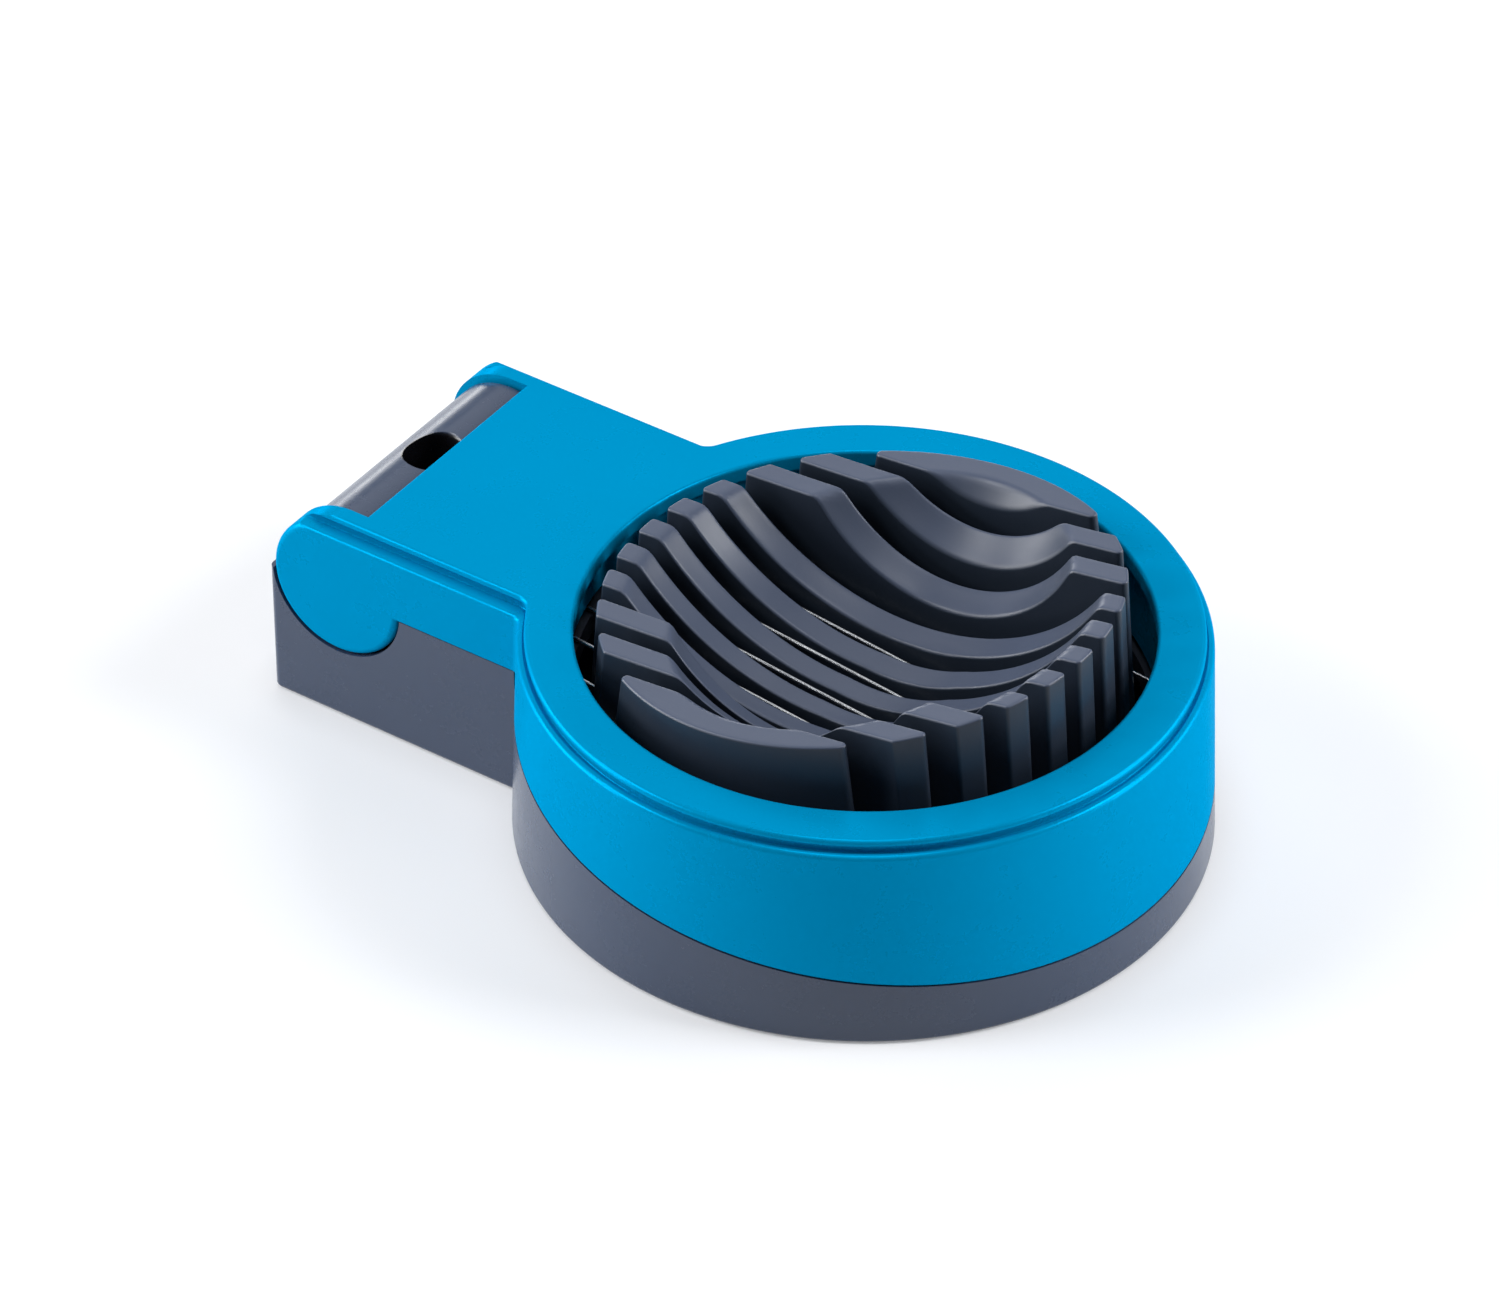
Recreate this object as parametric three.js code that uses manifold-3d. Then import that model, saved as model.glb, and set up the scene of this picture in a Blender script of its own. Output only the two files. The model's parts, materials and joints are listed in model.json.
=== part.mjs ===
// Hinged egg slicer: a two-part plastic body with a ribbed egg tray in the base and ten
// stretched wires in the lid. Millimetres, +Z up. The origin is the centre of the round
// drum on the flat underside. The hinge is at -X and the free tip of the lid at +X.
import * as THREE from 'three';
import { mergeVertices } from 'three/addons/utils/BufferGeometryUtils.js';
import Module from 'manifold-3d';

const wasm = await Module();
wasm.setup();

// ---- driving dimensions ----
const GAP = 0.3;                 // clearance between separate pieces
const WALL = 2.2;                // wall of both mouldings
const FACETS = 72;               // sides of the large round surfaces
const HOLE_FACETS = 20;          // sides of small holes and lugs
const SCREW_FACETS = 12;

const RING_R = 43.6;             // drum radius at the lid's ledge
const DRAFT = 0.035;             // how much the drum grows for each mm below the ledge
const LEDGE_Z = 28.6;            // low step round the edge of the lid
const TOP_Z = 30.3;              // top face of the lid
const STEP_IN = 1.0;             // width of that step round the drum
const NECK_STEP_IN = 2.0;        // width of that step along the neck
const EDGE_ROUND = 0.9;          // rounding of the lid's outer edge
const PANEL_ROUND = 0.7;         // rounding of the raised panel's edge
const OPENING_R = 36.4;          // round opening in the lid, round the egg tray
const NECK_HALF = 21.6;          // half-width of the lid's neck
const BASE_NECK_HALF = 21.4;     // half-width of the base's neck
const NECK_SEAM_Z = 19.8;        // lower edge of the lid's neck
const SEAM_Z = 12.4;             // joint between lid and base at the drum's centre
const SEAM_FALL = 0.12;          // fall of that joint towards the tip, per mm
const CEILING_Z = 27.8;          // inner face of the lid's top
const RIM_CEILING_Z = 26.0;      // inner face of the lid under the ledge

const HINGE_X = -66.8;
const HINGE_Z = 20.5;
const EAR_R = 9.8;               // the lid's two hinge ears
const EAR_INNER = 17.2;          // inner face of an ear, from the middle
const KNUCKLE_R = 8.9;           // the base's knuckle, between the ears
const LID_END_X = -64.6;         // edge of the lid's top plate beside the knuckle
const BACK_X = -77.6;            // end wall of the base
const PIN_R = 2.4;
const PIN_FROM = 10;             // a stub pin's two ends, from the middle
const PIN_TO = 19.8;
const HANG_HOLE_R = 4;
const POCKET_BACK_X = -74;       // hollows in the underside of the knuckle, beside the hole
const POCKET_INNER = 5.6;
const POCKET_OUTER = 15;
const POCKET_TOP_Z = 15.5;

const FLOOR = 2.6;               // thickness of the base's floor
const PAD_R = 5;
const PAD_DEPTH = 1.2;
const PAD_PLACES = [[29, 22], [29, -22], [-50, 14], [-50, -14]];

const TRAY_X = -0.3;             // centre of the egg tray
const TRAY_R = 33.4;             // tray radius at TRAY_REF_Z
const TRAY_REF_Z = 30;
const TRAY_DRAFT = 0.065;
const TRAY_PLATE_Z = 9.5;        // underside of the plate that joins the ribs
const SLOT_FLOOR_Z = 12;
const TRAY_SKIRT = 2.4;          // thickness of the wall under the ribs
const RIM_Z = 34.7;              // height of the rib ends at the drum's centre
const RIM_RISE = 0.124;          // rise of the rib ends towards the tip, per mm
const RIM_CURVE = 0.0011;        // extra rise of the rib ends, times x squared
const BOWL_R = 33.75;            // round bed, cut in the five middle ribs
const BOWL_X = -1.6;
const BOWL_Z = 52.4;
const BOWL_HALF = 14.6;          // half-width of that bed, across the ribs
const TROUGH_R = 23.5;           // section of the narrower bed that crosses all the ribs
const TROUGH_REACH = 34.7;       // radius of its bottom line, along the egg's length
const TROUGH_X = -0.5;
const TROUGH_Z = 54.1;
const TRAY_SCREW_CIRCLE = 20;    // three screws hold the tray, from under the base
const TRAY_SCREW_R = 1;
const TRAY_SCREW_HEAD_R = 2.5;
const TRAY_SCREW_WELL = 1.5;     // depth of the hollow for a screw's head

const WIRE_COUNT = 10;
const WIRE_PITCH = 5.84;
const SLOT_WIDTH = 2.4;
const WIRE_R = 0.3;
const WIRE_Z = 18.8;             // height of the wires at the drum's centre
const WIRE_FALL = 0.11;          // fall of the wires towards the tip, per mm
const WIRE_END_R = 40.3;         // circle on which the wires turn down
const WIRE_HOOK = 2.2;           // length of the turned-down end
const CARRIER_IN = 36.7;         // ring that clamps the wires up into the lid
const CARRIER_OUT = 39.5;
const CARRIER_THICK = 3;
const COLLAR_OUT = 38.6;         // wall that hangs from the edge of the lid's opening
const LUG_R = 38.8;              // screw circle of the carrier
const LUG_SIZE = 2.4;
const LUG_TURN = 48;             // angle of the first lug from the tip, in degrees
const CARRIER_SCREW_R = 0.8;

const BLUE = new THREE.MeshStandardMaterial({ color: 0x0095ce, roughness: 0.38, metalness: 0 });
const SLATE = new THREE.MeshStandardMaterial({ color: 0x424d5e, roughness: 0.45, metalness: 0 });
const DARK = new THREE.MeshStandardMaterial({ color: 0x363d4c, roughness: 0.45, metalness: 0 });
const STEEL = new THREE.MeshStandardMaterial({ color: 0xc9ccd0, roughness: 0.25, metalness: 1 });
const RUBBER = new THREE.MeshStandardMaterial({ color: 0x24272c, roughness: 0.85, metalness: 0 });

// ---- helpers ----
function solid(geometry) {
  geometry.deleteAttribute('normal');
  geometry.deleteAttribute('uv');
  const merged = mergeVertices(geometry, 1e-4);
  const mesh = new wasm.Mesh({
    numProp: 3,
    vertProperties: new Float32Array(merged.attributes.position.array),
    triVerts: new Uint32Array(merged.index.array),
  });
  return new wasm.Manifold(mesh);
}

function join(...solids) {
  return solids.reduce((whole, next) => whole.add(next));
}

function cut(whole, ...tools) {
  return tools.reduce((rest, tool) => rest.subtract(tool), whole);
}

function toGeometry(manifold) {
  const mesh = manifold.getMesh();
  const geometry = new THREE.BufferGeometry();
  geometry.setAttribute('position', new THREE.BufferAttribute(mesh.vertProperties, 3));
  geometry.setIndex(new THREE.BufferAttribute(mesh.triVerts, 1));
  geometry.computeVertexNormals();
  return geometry;
}

function box(x0, x1, y0, y1, z0, z1) {
  const geometry = new THREE.BoxGeometry(x1 - x0, y1 - y0, z1 - z0);
  geometry.translate((x0 + x1) / 2, (y0 + y1) / 2, (z0 + z1) / 2);
  return solid(geometry);
}

// Upright cylinder.
function post(x, y, radius, z0, z1, facets = HOLE_FACETS) {
  const geometry = new THREE.CylinderGeometry(radius, radius, z1 - z0, facets);
  geometry.rotateX(Math.PI / 2);
  geometry.translate(x, y, (z0 + z1) / 2);
  return solid(geometry);
}

// Cylinder round the hinge axis, from y0 to y1.
function roundHinge(radius, y0, y1, facets = 56) {
  const geometry = new THREE.CylinderGeometry(radius, radius, y1 - y0, facets);
  geometry.translate(HINGE_X, (y0 + y1) / 2, 0);
  geometry.translate(0, 0, HINGE_Z);
  return solid(geometry);
}

// Profile of [radius, z] points, from the axis at the bottom to the axis at the top.
function lathe(points, facets = FACETS) {
  const geometry = new THREE.LatheGeometry(points.map(([r, z]) => new THREE.Vector2(r, z)), facets);
  geometry.rotateX(Math.PI / 2);
  return solid(geometry);
}

// Outline of [y, z] points, extruded along X.
function alongX(points, x0, x1) {
  const shape = new THREE.Shape(points.map(([y, z]) => new THREE.Vector2(y, z)));
  const geometry = new THREE.ExtrudeGeometry(shape, { depth: x1 - x0, bevelEnabled: false });
  const turn = new THREE.Matrix4().makeBasis(
    new THREE.Vector3(0, 1, 0), new THREE.Vector3(0, 0, 1), new THREE.Vector3(1, 0, 0));
  geometry.applyMatrix4(turn);
  geometry.translate(x0, 0, 0);
  return solid(geometry);
}

// Quarter round from the wall (distance across) up to the flat (height), as [distance, z].
function quarterRound(across, height, radius, steps) {
  const points = [];
  for (let i = 0; i <= steps; i++) {
    const turn = (i / steps) * Math.PI / 2;
    points.push([across - radius + radius * Math.cos(turn), height - radius + radius * Math.sin(turn)]);
  }
  return points;
}

// Edge of the lid, from its outer wall over the ledge and the step to the top face.
function lidEdge(across, stepIn) {
  return [
    ...quarterRound(across, LEDGE_Z, EDGE_ROUND, 3),
    [across - stepIn, LEDGE_Z],
    ...quarterRound(across - stepIn, TOP_Z, PANEL_ROUND, 2),
  ];
}

const drumRadius = (z) => RING_R + (LEDGE_Z - z) * DRAFT;
const seamZ = (x) => SEAM_Z - SEAM_FALL * x;
const wireZ = (x) => WIRE_Z - WIRE_FALL * x;

// Everything under a sloping plane through z at the drum's centre, falling towards the tip.
function under(z, fall) {
  const reach = 120;
  const shape = new THREE.Shape([
    new THREE.Vector2(-reach, -reach),
    new THREE.Vector2(reach, -reach),
    new THREE.Vector2(reach, z - fall * reach),
    new THREE.Vector2(-reach, z + fall * reach),
  ]);
  const geometry = new THREE.ExtrudeGeometry(shape, { depth: 2 * reach, bevelEnabled: false });
  geometry.rotateX(Math.PI / 2);
  geometry.translate(0, reach, 0);
  return solid(geometry);
}

// A pair of solids, one at each side of the middle plane.
function bothSides(make) {
  return join(make(1), make(-1));
}

// The stretch from y0 to y1 at the +Y side, or its mirror image at the -Y side.
function span(side, y0, y1) {
  return side > 0 ? [y0, y1] : [-y1, -y0];
}

// Points [x, y] on a circle round the drum's centre, at the given angles in degrees.
function around(radius, angles) {
  return angles.map((degrees) => {
    const turn = THREE.MathUtils.degToRad(degrees);
    return [radius * Math.cos(turn), radius * Math.sin(turn)];
  });
}

const lugPlaces = around(LUG_R, [LUG_TURN, 180 - LUG_TURN, 180 + LUG_TURN, 360 - LUG_TURN]);
const screwPlaces = around(TRAY_SCREW_CIRCLE, [0, 120, 240]);
const wirePlaces = Array.from({ length: WIRE_COUNT }, (_, i) => (i - (WIRE_COUNT - 1) / 2) * WIRE_PITCH);

// ---- lid ----
function neckSection(half, bottom) {
  const right = [[half, bottom], ...lidEdge(half, NECK_STEP_IN)];
  const left = right.map(([y, z]) => [-y, z]).reverse();
  return [...right, ...left];
}

function makeLid() {
  const low = -1;
  const drum = lathe([[0, low], [drumRadius(low), low], ...lidEdge(RING_R, STEP_IN), [0, TOP_Z]]);
  const drumAboveSeam = cut(drum, under(SEAM_Z, SEAM_FALL));
  const neck = alongX(neckSection(NECK_HALF, NECK_SEAM_Z), HINGE_X, -30);
  const tall = alongX(neckSection(NECK_HALF, 5), HINGE_X - 12, HINGE_X + 12);
  const ears = tall.intersect(roundHinge(EAR_R, -NECK_HALF - 1, NECK_HALF + 1));
  const drumHollow = lathe([
    [0, low - 1], [drumRadius(0) - WALL, low - 1], [RING_R - WALL, RIM_CEILING_Z],
    [RING_R - STEP_IN - WALL, RIM_CEILING_Z + 0.4], [RING_R - STEP_IN - WALL, CEILING_Z], [0, CEILING_Z]]);
  const bayX = HINGE_X + EAR_R + 0.4;
  const neckHollow = box(bayX, -30, -(NECK_HALF - WALL), NECK_HALF - WALL, 0, CEILING_Z);
  const hingeBay = box(BACK_X - 5, bayX + 1, -EAR_INNER, EAR_INNER, 0, CEILING_Z);
  const knuckleRoom = roundHinge(KNUCKLE_R + 0.4, -EAR_INNER, EAR_INNER);
  const plateEnd = box(BACK_X - 5, LID_END_X, -EAR_INNER, EAR_INNER, 0, TOP_Z + 5);
  const shell = cut(join(drumAboveSeam, neck, ears), drumHollow, neckHollow, hingeBay, knuckleRoom, plateEnd);

  const collar = post(0, 0, COLLAR_OUT, 5, CEILING_Z + 0.5, FACETS);
  const bosses = lugPlaces.map(([x, y]) => post(x, y, LUG_SIZE, 5, CEILING_Z + 0.5));
  const hanging = cut(join(collar, ...bosses), under(WIRE_Z + WIRE_R + GAP, WIRE_FALL));
  const opening = post(0, 0, OPENING_R, -5, TOP_Z + 5, FACETS);
  const pilots = lugPlaces.map(([x, y]) => post(x, y, CARRIER_SCREW_R + GAP, 0, CEILING_Z - 1.2));
  const pinHoles = bothSides((side) => roundHinge(
    PIN_R + GAP, ...span(side, EAR_INNER - 1, PIN_TO + GAP), 24));
  return cut(join(shell, hanging), opening, ...pilots, pinHoles);
}

// Ring under the wires, screwed up against the lid's collar.
function makeCarrier() {
  const ring = post(0, 0, CARRIER_OUT, 0, 30, FACETS);
  const lugs = lugPlaces.map(([x, y]) => post(x, y, LUG_SIZE, 0, 30));
  const top = WIRE_Z - WIRE_R - GAP;
  const plate = join(ring, ...lugs).intersect(under(top, WIRE_FALL));
  const hole = post(0, 0, CARRIER_IN, -5, 40, FACETS);
  const screwHoles = lugPlaces.map(([x, y]) => post(x, y, CARRIER_SCREW_R + GAP, -5, 40));
  return cut(plate, under(top - CARRIER_THICK, WIRE_FALL), hole, ...screwHoles);
}

// Small round-headed screw, head down, with its head's upper face at z.
function screw(x, y, z, headRadius, headHeight, shankRadius, length) {
  const profile = [
    [0, -headHeight], [headRadius * 0.7, -headHeight], [headRadius, -headHeight * 0.5],
    [headRadius, 0], [shankRadius, 0], [shankRadius, length - 1], [shankRadius * 0.3, length], [0, length]];
  const body = lathe(profile, SCREW_FACETS);
  const slot = box(-headRadius * 0.6, headRadius * 0.6, -0.25, 0.25, -headHeight - 1, -headHeight * 0.55);
  return cut(body, slot).translate([x, y, z]);
}

// Curve through given points, with one extrusion step from each point to the next.
class Polyline extends THREE.Curve {
  constructor(points) {
    super();
    this.points = points;
  }

  getPoint(t) {
    const place = t * (this.points.length - 1);
    const i = Math.min(Math.max(Math.floor(place), 0), this.points.length - 2);
    return new THREE.Vector3().lerpVectors(this.points[i], this.points[i + 1], place - i);
  }

  getPointAt(t) {
    return this.getPoint(t);
  }

  getTangentAt(t) {
    return this.getTangent(t);
  }
}

// One wire: straight across the lid, with both ends turned down outside the carrier.
function wireGeometry(y) {
  const reach = Math.sqrt(WIRE_END_R ** 2 - y ** 2);
  const bend = 0.8;
  const half = [[0, WIRE_HOOK], [0, bend], [bend * 0.3, bend * 0.3], [bend, 0]];
  const end = (side) => half.map(([inward, down]) => {
    const x = side * (reach - inward);
    return new THREE.Vector3(x, y, wireZ(x) - down);
  });
  const route = new Polyline([...end(-1), ...end(1).reverse()]);
  const section = new THREE.Shape();
  section.absarc(0, 0, WIRE_R, 0, Math.PI * 2);
  return new THREE.ExtrudeGeometry(section, {
    steps: route.points.length - 1, bevelEnabled: false, extrudePath: route, curveSegments: 4 });
}

// ---- base ----
function makeBase() {
  const drumFull = lathe([
    [0, 0], [drumRadius(0) - 0.8, 0], [drumRadius(0) - 0.2, 0.3], [drumRadius(1), 1],
    [drumRadius(20), 20], [0, 20]]);
  const drum = drumFull.intersect(under(SEAM_Z - GAP, SEAM_FALL));
  const neck = alongX([
    [-BASE_NECK_HALF + 0.6, 0], [BASE_NECK_HALF - 0.6, 0], [BASE_NECK_HALF, 0.6],
    [BASE_NECK_HALF, NECK_SEAM_Z - GAP], [-BASE_NECK_HALF, NECK_SEAM_Z - GAP], [-BASE_NECK_HALF, 0.6],
  ], BACK_X, -30);
  const knuckleHalf = EAR_INNER - GAP;
  const knuckle = roundHinge(KNUCKLE_R, -knuckleHalf, knuckleHalf);
  const frontX = HINGE_X + EAR_R;
  const drumHollow = lathe([[0, FLOOR], [drumRadius(0) - WALL, FLOOR], [drumRadius(40) - WALL, 40], [0, 40]]);
  const inner = BASE_NECK_HALF - WALL;
  const neckHollow = box(frontX, -30, -inner, inner, FLOOR, 40);
  const lidSkirtRoom = cut(post(0, 0, drumRadius(16) + GAP, 0, 40, FACETS), under(SEAM_Z - GAP, SEAM_FALL));
  const seats = bothSides((side) => roundHinge(EAR_R + GAP, ...span(side, knuckleHalf, 30)));
  const pockets = bothSides((side) => box(
    POCKET_BACK_X, frontX + 1, ...span(side, POCKET_INNER, POCKET_OUTER), FLOOR, POCKET_TOP_Z));
  const hangHole = post(HINGE_X, 0, HANG_HOLE_R, -5, 40, 32);
  const pinHoles = bothSides((side) => roundHinge(PIN_R + GAP, ...span(side, PIN_FROM - GAP, PIN_TO), 24));
  const padWells = PAD_PLACES.map(([x, y]) => post(x, y, PAD_R + GAP, -1, PAD_DEPTH + GAP, 32));
  const wells = screwPlaces.map(([x, y]) => join(
    post(x, y, TRAY_SCREW_HEAD_R + GAP, -1, TRAY_SCREW_WELL),
    post(x, y, TRAY_SCREW_R + GAP, -1, FLOOR + 1)));
  const block = cut(join(drum, neck), drumHollow, neckHollow, lidSkirtRoom, seats);
  return cut(join(block, knuckle), pockets, hangHole, pinHoles, ...padWells, ...wells);
}

// ---- egg tray ----
function trayRadius(z) {
  return TRAY_R + (TRAY_REF_Z - z) * TRAY_DRAFT;
}

const rimZ = (x) => RIM_Z + RIM_RISE * x + RIM_CURVE * x * x;

// Space under the surface that the rib ends lie on: it rises towards the tip.
function underRim() {
  const half = 40;
  const steps = 12;
  const points = [new THREE.Vector2(-half, -10), new THREE.Vector2(half, -10)];
  for (let i = 0; i <= steps; i++) {
    const x = half - (2 * half * i) / steps;
    points.push(new THREE.Vector2(x, rimZ(x)));
  }
  const section = new THREE.Shape(points);
  const geometry = new THREE.ExtrudeGeometry(section, { depth: 2 * half, bevelEnabled: false });
  geometry.rotateX(Math.PI / 2);
  geometry.translate(0, half, 0);
  return solid(geometry);
}

// The egg's bed: a round one in the middle ribs and a narrower trough across them all.
function makeBowl() {
  const ball = new THREE.SphereGeometry(BOWL_R, 48, 36);
  ball.rotateX(Math.PI / 2);
  ball.translate(BOWL_X, 0, BOWL_Z);
  const middle = solid(ball).intersect(box(-60, 60, -BOWL_HALF, BOWL_HALF, 0, 100));
  const points = [];
  const steps = 16;
  for (let i = 0; i <= steps; i++) {
    const turn = (i / steps - 0.5) * Math.PI;
    points.push(new THREE.Vector2(
      TROUGH_REACH - TROUGH_R + TROUGH_R * Math.cos(turn), TROUGH_R * Math.sin(turn)));
  }
  const profile = [new THREE.Vector2(0, -TROUGH_R), ...points, new THREE.Vector2(0, TROUGH_R)];
  const trough = new THREE.LatheGeometry(profile, 56);
  trough.rotateZ(-Math.PI / 2);
  trough.translate(TROUGH_X, 0, TROUGH_Z);
  return join(middle, solid(trough));
}

function makeTray() {
  const bottom = FLOOR + GAP;
  const body = lathe([[0, bottom], [trayRadius(bottom), bottom], [trayRadius(46), 46], [0, 46]]);
  const hollow = lathe([
    [0, 0], [trayRadius(bottom) - TRAY_SKIRT, 0], [trayRadius(TRAY_PLATE_Z) - TRAY_SKIRT, TRAY_PLATE_Z],
    [0, TRAY_PLATE_Z]], 48);
  const outer = cut(body, hollow).translate([TRAY_X, 0, 0]).intersect(underRim());
  const slots = wirePlaces.map((y) => box(-50, 50, y - SLOT_WIDTH / 2, y + SLOT_WIDTH / 2, SLOT_FLOOR_Z, 60));
  const bosses = screwPlaces.map(([x, y]) => post(x, y, 3.2, bottom, TRAY_PLATE_Z + 0.5));
  const screwRoom = screwPlaces.map(([x, y]) => post(x, y, TRAY_SCREW_R + GAP, 0, TRAY_PLATE_Z + 1.1));
  return cut(join(cut(outer, makeBowl(), ...slots), ...bosses), ...screwRoom);
}

// ---- assembly ----
const slicer = new THREE.Group();

function addPiece(name, geometry, material) {
  const mesh = new THREE.Mesh(geometry, material);
  mesh.name = name;
  slicer.add(mesh);
}

addPiece('base_shell', toGeometry(makeBase()), SLATE);
addPiece('egg_tray', toGeometry(makeTray()), DARK);
PAD_PLACES.forEach(([x, y], i) => {
  addPiece(`foot_pad_${i + 1}`, toGeometry(post(x, y, PAD_R, 0, PAD_DEPTH, 32)), RUBBER);
});
screwPlaces.forEach(([x, y], i) => {
  const body = screw(x, y, TRAY_SCREW_WELL - GAP, TRAY_SCREW_HEAD_R, 1, TRAY_SCREW_R, 8.2);
  addPiece(`tray_screw_${i + 1}`, toGeometry(body), STEEL);
});
[['right', -1], ['left', 1]].forEach(([name, side]) => {
  addPiece(`hinge_pin_${name}`, toGeometry(roundHinge(PIN_R, ...span(side, PIN_FROM, PIN_TO), 24)), STEEL);
});
addPiece('lid_frame', toGeometry(makeLid()), BLUE);
addPiece('wire_carrier', toGeometry(makeCarrier()), DARK);
lugPlaces.forEach(([x, y], i) => {
  const underCarrier = wireZ(x) - WIRE_R - GAP - CARRIER_THICK;
  const body = screw(x, y, underCarrier - 1.5 * GAP, 1.9, 1, CARRIER_SCREW_R, 8);
  addPiece(`carrier_screw_${i + 1}`, toGeometry(body), STEEL);
});
wirePlaces.forEach((y, i) => {
  addPiece(`wire_${String(i + 1).padStart(2, '0')}`, wireGeometry(y), STEEL);
});

export default slicer;
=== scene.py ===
"""Looks of the hinged egg slicer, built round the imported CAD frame. Lengths are in millimetres
until a mesh is finished, and in metres from then on."""
import json
import math

import bpy
from mathutils import Matrix, Vector


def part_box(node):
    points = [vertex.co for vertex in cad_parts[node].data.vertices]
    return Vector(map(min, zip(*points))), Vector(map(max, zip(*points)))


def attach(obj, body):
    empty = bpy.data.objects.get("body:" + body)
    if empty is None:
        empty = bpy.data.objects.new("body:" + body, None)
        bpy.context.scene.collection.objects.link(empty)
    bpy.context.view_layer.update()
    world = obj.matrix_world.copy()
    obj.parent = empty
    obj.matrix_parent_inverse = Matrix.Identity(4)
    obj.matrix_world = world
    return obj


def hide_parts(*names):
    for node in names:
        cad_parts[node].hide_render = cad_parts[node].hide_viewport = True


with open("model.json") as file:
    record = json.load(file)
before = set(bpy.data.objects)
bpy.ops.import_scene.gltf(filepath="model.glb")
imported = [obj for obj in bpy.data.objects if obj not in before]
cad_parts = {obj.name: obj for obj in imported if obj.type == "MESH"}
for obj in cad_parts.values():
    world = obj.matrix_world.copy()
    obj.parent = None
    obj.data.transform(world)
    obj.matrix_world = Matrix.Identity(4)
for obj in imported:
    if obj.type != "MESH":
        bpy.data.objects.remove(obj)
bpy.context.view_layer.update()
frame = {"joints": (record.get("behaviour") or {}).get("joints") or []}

MM = 0.001


def node_box(name):
    """Lowest and highest corner of a CAD node, in millimetres."""
    low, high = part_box(name)
    return low / MM, high / MM


# ---- sizes: from the frame where it has them, and otherwise as the CAD has them ----
GAP = 0.3
WALL = 2.2
hinge = frame["joints"][0]["pos_m"]
HINGE_X, HINGE_Z = hinge[0] / MM, hinge[2] / MM
base_low, base_high = node_box("base_shell")
BACK_X = base_low.x
BOTTOM_R = (base_high.y - base_low.y) / 2
TOP_Z = node_box("lid_frame")[1].z

# how far a cutting tool runs past a face, and places clear of the whole object
PAST = 1.0
BEHIND_X = BACK_X - 5
BELOW_Z = -5
ABOVE_Z = 40

# drum and neck; the seam between lid and base falls towards +X by SEAM_FALL per mm
LEDGE_Z = TOP_Z - 1.7
DRAFT = 0.035
RING_R = BOTTOM_R - LEDGE_Z * DRAFT
STEP_IN = 1.0
NECK_STEP_IN = 2.0
EDGE_ROUND = 0.75
PANEL_ROUND = 0.7
GROOVE_LIP = 0.22
GROOVE_DEPTH = 0.3
UNDERCUT = 0.38
OPENING_R = 36.4
OPENING_ROUND = 0.5
LIP = 2.2
LIP_OVERHANG = 0.9
NECK_HALF = 21.6
BASE_NECK_HALF = 21.4
NECK_FRONT_X = -30
NECK_SEAM_Z = 19.8
SEAM_Z = 12.4
SEAM_FALL = 0.12
CEILING_Z = 27.8
RIM_CEILING_Z = 26.0
CORNER_FILLET = 1.4
FOOT_ROUND = 0.7
BASE_FILLET = 0.5
BASE_CORNER = 1.1

# hinge; a pocket lies on either side of the hanging hole, under the pins
EAR_R = 9.8
EAR_INNER = 17.2
EAR_ROUND = 0.9
KNUCKLE_R = 8.9
KNUCKLE_ROUND = 0.35
KNUCKLE_ROOM = 0.4
LID_END_X = -64.6
PIN_R = 2.4
PIN_START = 10.0
PIN_END = 19.8
PIN_BEVEL = 0.35
HANG_HOLE_R = 4.0
HANG_HOLE_BEVEL = 0.5
POCKET_BACK_X = -74
POCKET_IN = 5.6
POCKET_OUT = 15
POCKET_TOP_Z = 15.5

# floor and pads
FLOOR = 2.6
PAD_R = 5.0
PAD_DEPTH = 1.2
PAD_PLACES = [(29, 22), (29, -22), (-50, 14), (-50, -14)]

# tray; the egg bed is a trough along X in every rib, with a bowl sunk into it in the middle ones
TRAY_X = -0.3
TRAY_R = 33.4
TRAY_REF_Z = 30.0
TRAY_DRAFT = 0.065
TRAY_PLATE_Z = 9.5
SLOT_FLOOR_Z = 12.0
TRAY_SKIRT = 2.4
RIM_Z = 34.7
RIM_RISE = 0.124
RIM_CURVE = 0.0011
BOWL_R = 35.5
BOWL_X = -3.2
BOWL_Z = 55.1
BOWL_ACROSS = 0.88
BOWL_RIGHT = 0.985
BOWL_HALF = 14.6
TROUGH_R = 23.5
TROUGH_REACH = 34.7
TROUGH_X = -0.5
TROUGH_Z = 54.1
BED_BLEND = 0.9
END_BED_DROP = 1.1
END_BED_SHIFT = -1.0
BOSS_R = 3.2
TRAY_SCREW_CIRCLE = 20.0
TRAY_SCREW_Z = 1.2
TRAY_SCREW_R = 1.0
TRAY_SCREW_HEAD_R = 2.5
TRAY_SCREW_LENGTH = 8.2

# wires, which fall towards +X by WIRE_FALL per mm, and the ring that clamps them
WIRE_COUNT = 10
WIRE_PITCH = 5.84
SLOT_WIDTH = 2.4
WIRE_R = 0.28
WIRE_SIDES = 16
WIRE_Z = 18.8
WIRE_FALL = 0.11
WIRE_END_R = 40.3
WIRE_HOOK = 2.2
WIRE_BEND = 0.9
WIRE_SPACE = 0.3
WIRE_GROOVE = 0.35
CARRIER_IN = 36.7
CARRIER_OUT = 39.5
CARRIER_THICK = 3.0
COLLAR_OUT = 38.6
COLLAR_LOW_Z = 5
LUG_R = 38.8
LUG_SIZE = 2.4
LUG_TURN = 48.0
LUG_PILOT_END = 1.2
RING_SCREW_R = 0.8
RING_SCREW_HEAD_R = 1.9
RING_SCREW_LENGTH = 8.0
SCREW_HEAD = 1.0
THREAD_TURNS = 9

# segments of a full turn
FINE = 240
HINGE_FINE = 192
HOLE_FINE = 64
SCREW_FINE = 32


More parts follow.
